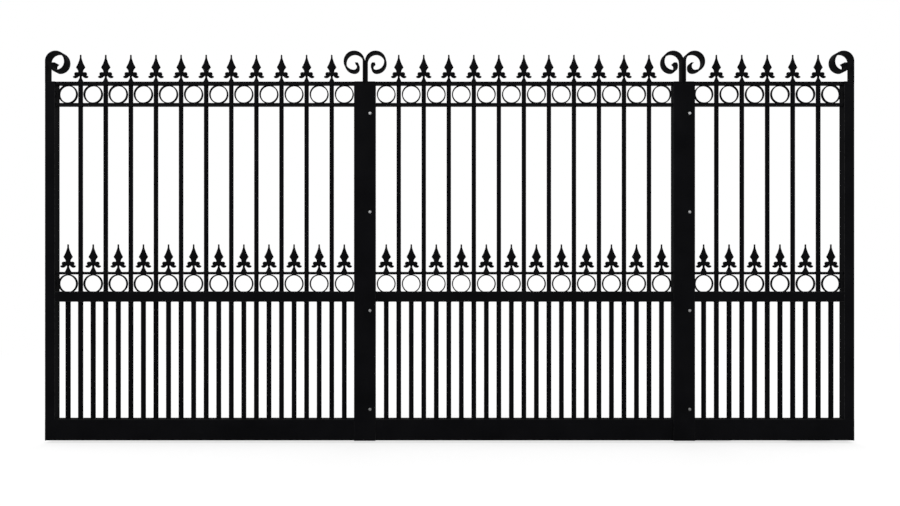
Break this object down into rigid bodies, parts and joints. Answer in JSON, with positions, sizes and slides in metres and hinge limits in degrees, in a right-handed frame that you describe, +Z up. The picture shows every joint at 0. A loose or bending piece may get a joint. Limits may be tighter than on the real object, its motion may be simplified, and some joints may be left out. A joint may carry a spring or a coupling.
{
  "type": "sliding gate",
  "caption": "Black steel sliding gate leaf in bolted sections, with round bars, rings, spear finials and scrolls, carried by roller carriages behind it whose wheels run inside its slotted bottom channel",
  "frame": {"origin": "Middle of the underside of the front carriage's base plate, on the ground behind the leaf.", "axes": "+X runs along the leaf towards its tail, which is the way it slides open; +Y runs to the leaf's back; +Z is up."},
  "size_m": [4, 0.188, 1.939],
  "materials": {
    "black_paint": "satin black paint on mild steel",
    "cast_black": "satin black paint on cast iron",
    "zinc": "zinc plated steel",
    "wheel_steel": "turned bare steel"
  },
  "bodies": {
    "carriages": {"front_carriage": "zinc", "front_wheels": "wheel_steel", "front_axles": "zinc", "rear_carriage": "zinc", "rear_wheels": "wheel_steel", "rear_axles": "zinc"},
    "leaf": {"left_bottom_channel": "black_paint", "left_left_stile": "black_paint", "left_right_stile": "black_paint", "left_mid_rail": "black_paint", "left_flat_rails": "black_paint", "left_top_rail": "black_paint", "left_upper_bars": "black_paint", "left_lower_bars": "black_paint", "left_rings": "black_paint", "left_finials": "cast_black", "left_scrolls": "black_paint", "middle_bottom_channel": "black_paint", "middle_left_stile": "black_paint", "middle_right_stile": "black_paint", "middle_mid_rail": "black_paint", "middle_flat_rails": "black_paint", "middle_top_rail": "black_paint", "middle_upper_bars": "black_paint", "middle_lower_bars": "black_paint", "middle_rings": "black_paint", "middle_finials": "cast_black", "middle_scrolls": "black_paint", "tail_bottom_channel": "black_paint", "tail_left_stile": "black_paint", "tail_right_stile": "black_paint", "tail_mid_rail": "black_paint", "tail_flat_rails": "black_paint", "tail_top_rail": "black_paint", "tail_upper_bars": "black_paint", "tail_lower_bars": "black_paint", "tail_rings": "black_paint", "tail_finials": "cast_black", "tail_scrolls": "black_paint", "channel_end_caps": "black_paint", "left_joint_plate": "black_paint", "tail_joint_plate": "black_paint", "left_joint_bolts": "zinc", "tail_joint_bolts": "zinc"}
  },
  "joints": [
    {"name": "leaf_slide", "type": "slide", "parent": "carriages", "child": "leaf", "axis": [1, 0, 0], "range_m": [0, 3]}
  ]
}
